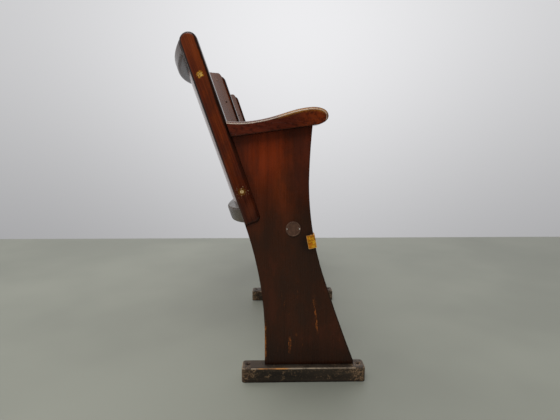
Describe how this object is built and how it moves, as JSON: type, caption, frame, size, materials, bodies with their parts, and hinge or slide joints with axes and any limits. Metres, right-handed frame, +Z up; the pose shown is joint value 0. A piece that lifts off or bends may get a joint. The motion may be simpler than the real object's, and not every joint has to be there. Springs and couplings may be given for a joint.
{
  "type": "tip-up hall bench",
  "caption": "Wooden hall bench with tip-up seats, bent plywood backs, waisted standards with armrests, and feet that screw to the floor.",
  "frame": {"origin": "centre of the middle foot's underside, on the floor", "axes": "+X along the bench to the sitter's left, +Y to the rear, +Z up; sitters face -Y"},
  "size_m": [1.173, 0.5069, 0.8595],
  "materials": {
    "stained_wood": "dark red-brown stain under worn gloss lacquer",
    "panel_wood": "dark brown stain under worn gloss lacquer",
    "foot_wood": "blackened, scuffed",
    "back_plywood": "dark stain under gloss lacquer",
    "seat_plywood": "dark stain under gloss lacquer",
    "seat_wood": "dark stain, satin",
    "dowel_wood": "bare",
    "brass": "worn, partly painted over",
    "bronze": "plain",
    "steel": "dull",
    "nail_steel": "polished",
    "hinge_iron": "blackened",
    "cover_brown": "brown enamel",
    "rubber": "aged",
    "marker_yellow": "worn yellow ochre paint"
  },
  "bodies": {
    "frame": {"aisle_marker": "marker_yellow", "arm_dowels": "dowel_wood", "armrest_left": "stained_wood", "armrest_middle": "stained_wood", "armrest_right": "stained_wood", "back_battens_left": "stained_wood", "back_battens_right": "stained_wood", "back_panel_left": "back_plywood", "back_panel_right": "back_plywood", "back_panel_screws_left": "bronze", "back_panel_screws_right": "bronze", "back_screws": "brass", "back_stile_left": "stained_wood", "back_stile_middle": "stained_wood", "back_stile_right": "stained_wood", "cover_disc_left": "cover_brown", "cover_disc_right": "cover_brown", "cover_nails": "nail_steel", "foot_left": "foot_wood", "foot_middle": "foot_wood", "foot_right": "foot_wood", "foot_screws": "steel", "lower_rail_left": "stained_wood", "lower_rail_right": "stained_wood", "pivot_nuts": "steel", "pivot_pin_left": "steel", "pivot_pin_middle": "steel", "pivot_pin_right": "steel", "pivot_washers": "steel", "stop_pegs": "steel", "stop_sleeves": "rubber", "top_rail_left": "stained_wood", "top_rail_right": "stained_wood", "upright_panel_left": "panel_wood", "upright_panel_middle": "panel_wood", "upright_panel_right": "panel_wood"},
    "seat_right": {"hinge_plate_right_left": "hinge_iron", "hinge_plate_right_right": "hinge_iron", "hinge_screws_right": "steel", "pivot_bushes_right": "bronze", "seat_board_right": "seat_plywood", "seat_board_screws_right": "brass", "seat_front_rail_right": "seat_wood", "seat_rear_rail_right": "seat_wood", "seat_side_rail_right_left": "seat_wood", "seat_side_rail_right_right": "seat_wood"},
    "seat_left": {"hinge_plate_left_left": "hinge_iron", "hinge_plate_left_right": "hinge_iron", "hinge_screws_left": "steel", "pivot_bushes_left": "bronze", "seat_board_left": "seat_plywood", "seat_board_screws_left": "brass", "seat_front_rail_left": "seat_wood", "seat_rear_rail_left": "seat_wood", "seat_side_rail_left_left": "seat_wood", "seat_side_rail_left_right": "seat_wood"}
  },
  "joints": [
    {"name": "seat_right_tip", "type": "hinge", "parent": "frame", "child": "seat_right", "pos_m": [-0.278, 0.0276, 0.395], "axis": [1, 0, 0], "range_deg": [0, 94]},
    {"name": "seat_left_tip", "type": "hinge", "parent": "frame", "child": "seat_left", "pos_m": [0.278, 0.0276, 0.395], "axis": [1, 0, 0], "range_deg": [0, 94]}
  ]
}
